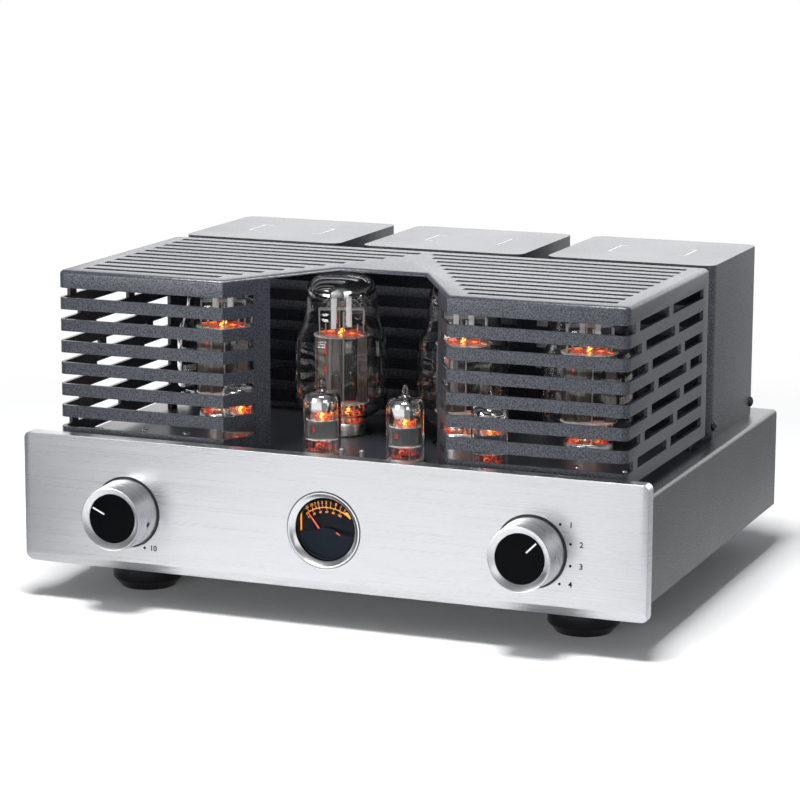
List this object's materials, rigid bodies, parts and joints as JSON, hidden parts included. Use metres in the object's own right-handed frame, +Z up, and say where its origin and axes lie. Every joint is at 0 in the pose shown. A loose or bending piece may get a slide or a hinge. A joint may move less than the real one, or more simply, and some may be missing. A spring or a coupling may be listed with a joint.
{
  "type": "valve integrated amplifier",
  "caption": "Valve integrated amplifier: slotted cage over glass valves, square transformer covers behind, round level meter between two round knobs on a brushed panel.",
  "frame": {"origin": "centre of the overall footprint, on the surface that the feet stand on", "axes": "+X to the right as seen from the front panel, +Y from the front panel to the rear, +Z up"},
  "size_m": [0.378, 0.3358, 0.1922],
  "materials": {
    "brushed_aluminium": "brushed along its length",
    "satin_aluminium": "fine turned satin",
    "charcoal_paint": "finely textured powder coat",
    "gloss_black": "gloss",
    "black_plastic": "satin",
    "red_plastic": "gloss",
    "foot_rubber": "matt",
    "clear_glass": "clear",
    "electrode_metal": "satin",
    "steel": "satin",
    "chrome": "polished",
    "core_steel": "varnished laminations",
    "green_board": "satin",
    "dial_face": "printed, lit from behind",
    "needle_orange": "satin"
  },
  "bodies": {
    "amplifier": {"front_panel": "brushed_aluminium", "chassis": "charcoal_paint", "bottom_cover": "charcoal_paint", "foot_front_left": "foot_rubber", "foot_front_right": "foot_rubber", "foot_rear_left": "foot_rubber", "foot_rear_right": "foot_rubber", "transformer_cover_left": "charcoal_paint", "transformer_cover_centre": "charcoal_paint", "transformer_cover_right": "charcoal_paint", "transformer_left": "core_steel", "transformer_centre": "core_steel", "transformer_right": "core_steel", "volume_potentiometer": "steel", "selector_switch": "steel", "meter_bezel": "satin_aluminium", "meter_glass": "clear_glass", "meter_case": "black_plastic", "meter_dial": "dial_face", "power_tube_1_glass": "clear_glass", "power_tube_1_electrodes": "electrode_metal", "power_tube_2_glass": "clear_glass", "power_tube_2_electrodes": "electrode_metal", "power_tube_3_glass": "clear_glass", "power_tube_3_electrodes": "electrode_metal", "power_tube_4_glass": "clear_glass", "power_tube_4_electrodes": "electrode_metal", "signal_tube_1_glass": "clear_glass", "signal_tube_1_electrodes": "electrode_metal", "signal_tube_2_glass": "clear_glass", "signal_tube_2_electrodes": "electrode_metal", "signal_tube_3_glass": "clear_glass", "signal_tube_3_electrodes": "electrode_metal", "signal_tube_4_glass": "clear_glass", "signal_tube_4_electrodes": "electrode_metal", "tube_board": "green_board", "power_supply_board": "green_board", "speaker_terminal_block": "black_plastic", "phono_block": "black_plastic", "mains_inlet": "black_plastic", "antenna_jack": "chrome", "power_switch_frame": "black_plastic"},
    "cage": {"tube_cage": "charcoal_paint"},
    "volume": {"volume_knob": "satin_aluminium", "volume_inlay": "gloss_black", "volume_spindle": "steel"},
    "selector": {"selector_knob": "satin_aluminium", "selector_inlay": "gloss_black", "selector_spindle": "steel"},
    "needle": {"meter_needle": "needle_orange"},
    "rocker": {"power_rocker": "black_plastic"},
    "fuse": {"fuse_drawer": "black_plastic"},
    "aerial_base": {"antenna_knuckle": "black_plastic"},
    "aerial_rod": {"antenna_rod": "black_plastic"},
    "nut_1": {"speaker_nut_1": "black_plastic"},
    "nut_2": {"speaker_nut_2": "red_plastic"},
    "nut_3": {"speaker_nut_3": "red_plastic"},
    "nut_4": {"speaker_nut_4": "black_plastic"},
    "nut_5": {"speaker_nut_5": "red_plastic"},
    "nut_6": {"speaker_nut_6": "red_plastic"}
  },
  "joints": [
    {"name": "cage_lift", "type": "slide", "parent": "amplifier", "child": "cage", "axis": [0, 0, 1], "range_m": [0, 0.13]},
    {"name": "volume_turn", "type": "hinge", "parent": "amplifier", "child": "volume", "pos_m": [-0.1228, -0.14685, 0.0566], "axis": [0, 1, 0], "range_deg": [-85, 216]},
    {"name": "selector_turn", "type": "hinge", "parent": "amplifier", "child": "selector", "pos_m": [0.1228, -0.14685, 0.0566], "axis": [0, 1, 0], "range_deg": [0, 90]},
    {"name": "needle_swing", "type": "hinge", "parent": "amplifier", "child": "needle", "pos_m": [0.0015, -0.14095, 0.048], "axis": [0, 1, 0], "range_deg": [0, 70], "stiffness_Nm_per_rad": 0.001},
    {"name": "power_rock", "type": "hinge", "parent": "amplifier", "child": "rocker", "pos_m": [-0.182, -0.08885, 0.0572], "axis": [0, 0, -1], "range_deg": [0, 16]},
    {"name": "fuse_slide", "type": "slide", "parent": "amplifier", "child": "fuse", "axis": [0, 1, 0], "range_m": [0, 0.02]},
    {"name": "aerial_turn", "type": "hinge", "parent": "amplifier", "child": "aerial_base", "pos_m": [-0.158, 0.15315, 0.066], "axis": [0, 1, 0], "range_deg": [-90, 90]},
    {"name": "aerial_fold", "type": "hinge", "parent": "aerial_base", "child": "aerial_rod", "pos_m": [-0.158, 0.16235, 0.066], "axis": [-1, 0, 0], "range_deg": [0, 90]},
    {"name": "nut_1_turn", "type": "hinge", "parent": "amplifier", "child": "nut_1", "pos_m": [-0.027, 0.15615, 0.0572], "axis": [0, 1, 0], "range_deg": [0, 1080]},
    {"name": "nut_2_turn", "type": "hinge", "parent": "amplifier", "child": "nut_2", "pos_m": [-0.006, 0.15615, 0.0572], "axis": [0, 1, 0], "range_deg": [0, 1080]},
    {"name": "nut_3_turn", "type": "hinge", "parent": "amplifier", "child": "nut_3", "pos_m": [0.015, 0.15615, 0.0572], "axis": [0, 1, 0], "range_deg": [0, 1080]},
    {"name": "nut_4_turn", "type": "hinge", "parent": "amplifier", "child": "nut_4", "pos_m": [0.036, 0.15615, 0.0572], "axis": [0, 1, 0], "range_deg": [0, 1080]},
    {"name": "nut_5_turn", "type": "hinge", "parent": "amplifier", "child": "nut_5", "pos_m": [0.057, 0.15615, 0.0572], "axis": [0, 1, 0], "range_deg": [0, 1080]},
    {"name": "nut_6_turn", "type": "hinge", "parent": "amplifier", "child": "nut_6", "pos_m": [0.078, 0.15615, 0.0572], "axis": [0, 1, 0], "range_deg": [0, 1080]}
  ]
}
